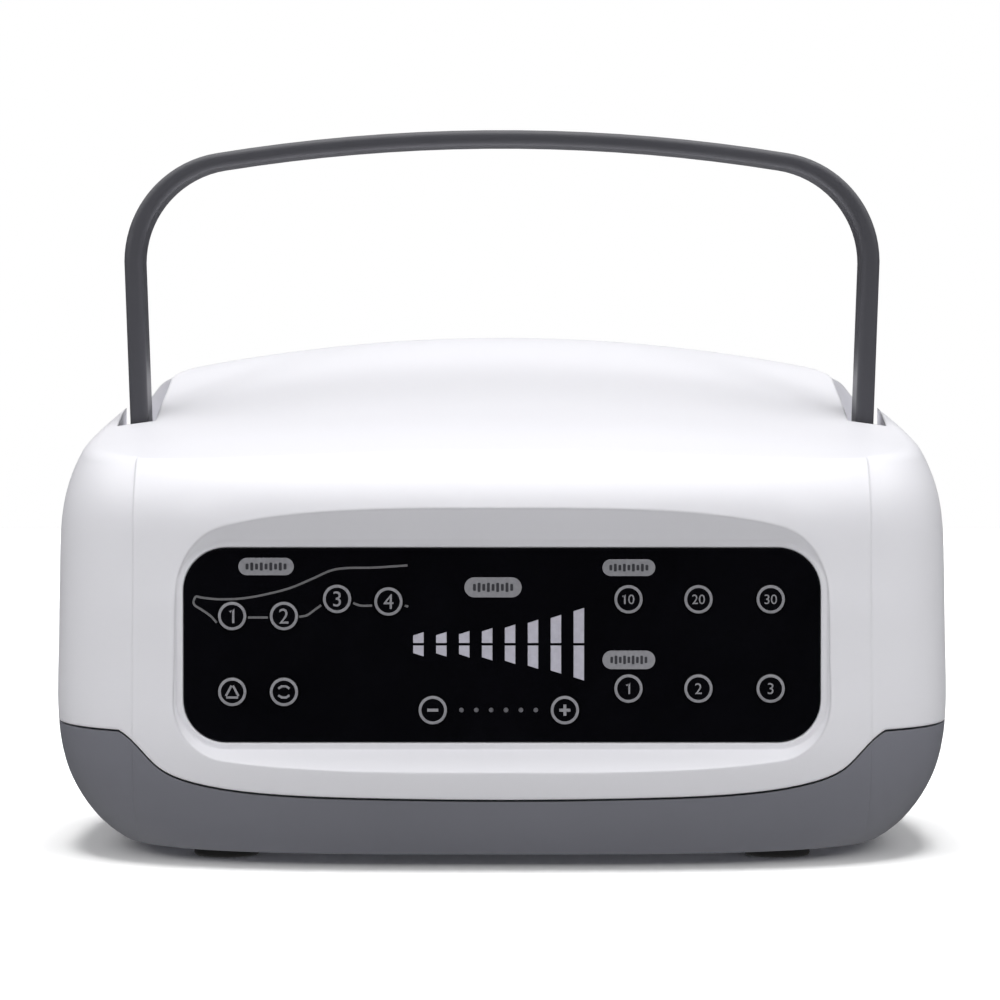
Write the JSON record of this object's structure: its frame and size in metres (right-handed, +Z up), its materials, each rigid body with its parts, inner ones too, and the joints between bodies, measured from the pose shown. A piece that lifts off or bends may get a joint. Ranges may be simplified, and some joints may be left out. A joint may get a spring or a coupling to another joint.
{
  "type": "compression therapy pump",
  "caption": "Table-top air compression therapy pump with a folding carry handle, a black panel of round keys and light bars, and air outlets and mains inlet at the back.",
  "frame": {"origin": "bottom centre of the bounding box, on the surface that the feet stand on", "axes": "+Z up, the control panel faces -Y, +X to the right of a person who looks at the panel"},
  "size_m": [0.2545, 0.2078, 0.2048],
  "materials": {
    "cover_plastic": "fine satin moulded ABS, off-white",
    "base_plastic": "fine matt moulded ABS, mid grey",
    "handle_plastic": "satin dark grey polypropylene",
    "panel_gloss": "polished black acrylic",
    "key_plastic": "glossy black keycap with a pale printed ring",
    "light_lens": "pale translucent light guide",
    "chip_white": "white chip package",
    "black_plastic": "black moulded nylon",
    "rocker_plastic": "glossy black rocker",
    "board_green": "green circuit board",
    "natural_plastic": "natural acetal",
    "foot_rubber": "matt black rubber",
    "tube_rubber": "translucent grey silicone hose",
    "screw_steel": "zinc-plated pan-head screws",
    "pin_steel": "turned steel",
    "armature_steel": "plated steel",
    "supply_metal": "tinned and lacquered power parts",
    "pump_aluminium": "die-cast, as cast",
    "coil_copper": "lacquered copper winding"
  },
  "bodies": {
    "root": {"top_cover": "cover_plastic", "base_tray": "base_plastic", "rubber_feet": "foot_rubber", "base_screws": "screw_steel", "control_panel": "panel_gloss", "pressure_bars": "light_lens", "level_dots": "light_lens", "light_chips": "chip_white", "key_switches": "black_plastic", "control_board": "board_green", "control_board_screws": "screw_steel", "handle_pins": "pin_steel", "rear_panel": "base_plastic", "rear_panel_screws": "screw_steel", "air_outlet_socket": "black_plastic", "power_inlet": "black_plastic", "power_switch_housing": "black_plastic", "main_board": "board_green", "pressure_sensor": "black_plastic", "supply_board": "board_green", "supply_parts": "supply_metal", "board_screws": "screw_steel", "pump_mounts": "foot_rubber", "pump_housing": "pump_aluminium", "pump_coils": "coil_copper", "pump_diaphragms": "foot_rubber", "pump_heads": "pump_aluminium", "valve_manifold": "natural_plastic", "manifold_screws": "screw_steel", "solenoid_valves": "armature_steel", "outlet_tubes": "tube_rubber", "pump_hose": "tube_rubber"},
    "key_chamber_1": {"key_chamber_1": "key_plastic"},
    "key_chamber_2": {"key_chamber_2": "key_plastic"},
    "key_chamber_3": {"key_chamber_3": "key_plastic"},
    "key_chamber_4": {"key_chamber_4": "key_plastic"},
    "key_foot_1": {"key_foot_1": "key_plastic"},
    "key_foot_2": {"key_foot_2": "key_plastic"},
    "key_pressure_down": {"key_pressure_down": "key_plastic"},
    "key_pressure_up": {"key_pressure_up": "key_plastic"},
    "key_timer_1": {"key_timer_1": "key_plastic"},
    "key_timer_2": {"key_timer_2": "key_plastic"},
    "key_timer_3": {"key_timer_3": "key_plastic"},
    "key_mode_1": {"key_mode_1": "key_plastic"},
    "key_mode_2": {"key_mode_2": "key_plastic"},
    "key_mode_3": {"key_mode_3": "key_plastic"},
    "carry_handle": {"carry_handle": "handle_plastic"},
    "power_switch_rocker": {"power_switch_rocker": "rocker_plastic"},
    "pump_armature": {"pump_armature": "armature_steel"},
    "valve_plunger_1": {"valve_plunger_1": "pin_steel"},
    "valve_plunger_2": {"valve_plunger_2": "pin_steel"},
    "valve_plunger_3": {"valve_plunger_3": "pin_steel"},
    "valve_plunger_4": {"valve_plunger_4": "pin_steel"}
  },
  "joints": [
    {"name": "key_chamber_1_press", "type": "slide", "parent": "root", "child": "key_chamber_1", "axis": [0, 1, 0], "range_m": [0, 0.0006], "stiffness_N_per_m": 1500},
    {"name": "key_chamber_2_press", "type": "slide", "parent": "root", "child": "key_chamber_2", "axis": [0, 1, 0], "range_m": [0, 0.0006], "stiffness_N_per_m": 1500},
    {"name": "key_chamber_3_press", "type": "slide", "parent": "root", "child": "key_chamber_3", "axis": [0, 1, 0], "range_m": [0, 0.0006], "stiffness_N_per_m": 1500},
    {"name": "key_chamber_4_press", "type": "slide", "parent": "root", "child": "key_chamber_4", "axis": [0, 1, 0], "range_m": [0, 0.0006], "stiffness_N_per_m": 1500},
    {"name": "key_foot_1_press", "type": "slide", "parent": "root", "child": "key_foot_1", "axis": [0, 1, 0], "range_m": [0, 0.0006], "stiffness_N_per_m": 1500},
    {"name": "key_foot_2_press", "type": "slide", "parent": "root", "child": "key_foot_2", "axis": [0, 1, 0], "range_m": [0, 0.0006], "stiffness_N_per_m": 1500},
    {"name": "key_pressure_down_press", "type": "slide", "parent": "root", "child": "key_pressure_down", "axis": [0, 1, 0], "range_m": [0, 0.0006], "stiffness_N_per_m": 1500},
    {"name": "key_pressure_up_press", "type": "slide", "parent": "root", "child": "key_pressure_up", "axis": [0, 1, 0], "range_m": [0, 0.0006], "stiffness_N_per_m": 1500},
    {"name": "key_timer_1_press", "type": "slide", "parent": "root", "child": "key_timer_1", "axis": [0, 1, 0], "range_m": [0, 0.0006], "stiffness_N_per_m": 1500},
    {"name": "key_timer_2_press", "type": "slide", "parent": "root", "child": "key_timer_2", "axis": [0, 1, 0], "range_m": [0, 0.0006], "stiffness_N_per_m": 1500},
    {"name": "key_timer_3_press", "type": "slide", "parent": "root", "child": "key_timer_3", "axis": [0, 1, 0], "range_m": [0, 0.0006], "stiffness_N_per_m": 1500},
    {"name": "key_mode_1_press", "type": "slide", "parent": "root", "child": "key_mode_1", "axis": [0, 1, 0], "range_m": [0, 0.0006], "stiffness_N_per_m": 1500},
    {"name": "key_mode_2_press", "type": "slide", "parent": "root", "child": "key_mode_2", "axis": [0, 1, 0], "range_m": [0, 0.0006], "stiffness_N_per_m": 1500},
    {"name": "key_mode_3_press", "type": "slide", "parent": "root", "child": "key_mode_3", "axis": [0, 1, 0], "range_m": [0, 0.0006], "stiffness_N_per_m": 1500},
    {"name": "carry_handle_fold", "type": "hinge", "parent": "root", "child": "carry_handle", "pos_m": [0, 0, 0.112], "axis": [-1, 0, 0], "range_deg": [0, 52]},
    {"name": "power_switch_rock", "type": "hinge", "parent": "root", "child": "power_switch_rocker", "pos_m": [0.044, 0.095, 0.0795], "axis": [1, 0, 0], "range_deg": [0, 16]},
    {"name": "pump_armature_swing", "type": "slide", "parent": "root", "child": "pump_armature", "axis": [1, 0, 0], "range_m": [-0.0015, 0.0015], "stiffness_N_per_m": 2000},
    {"name": "valve_plunger_1_lift", "type": "slide", "parent": "root", "child": "valve_plunger_1", "axis": [0, 0, 1], "range_m": [0, 0.0015], "stiffness_N_per_m": 300},
    {"name": "valve_plunger_2_lift", "type": "slide", "parent": "root", "child": "valve_plunger_2", "axis": [0, 0, 1], "range_m": [0, 0.0015], "stiffness_N_per_m": 300},
    {"name": "valve_plunger_3_lift", "type": "slide", "parent": "root", "child": "valve_plunger_3", "axis": [0, 0, 1], "range_m": [0, 0.0015], "stiffness_N_per_m": 300},
    {"name": "valve_plunger_4_lift", "type": "slide", "parent": "root", "child": "valve_plunger_4", "axis": [0, 0, 1], "range_m": [0, 0.0015], "stiffness_N_per_m": 300}
  ]
}
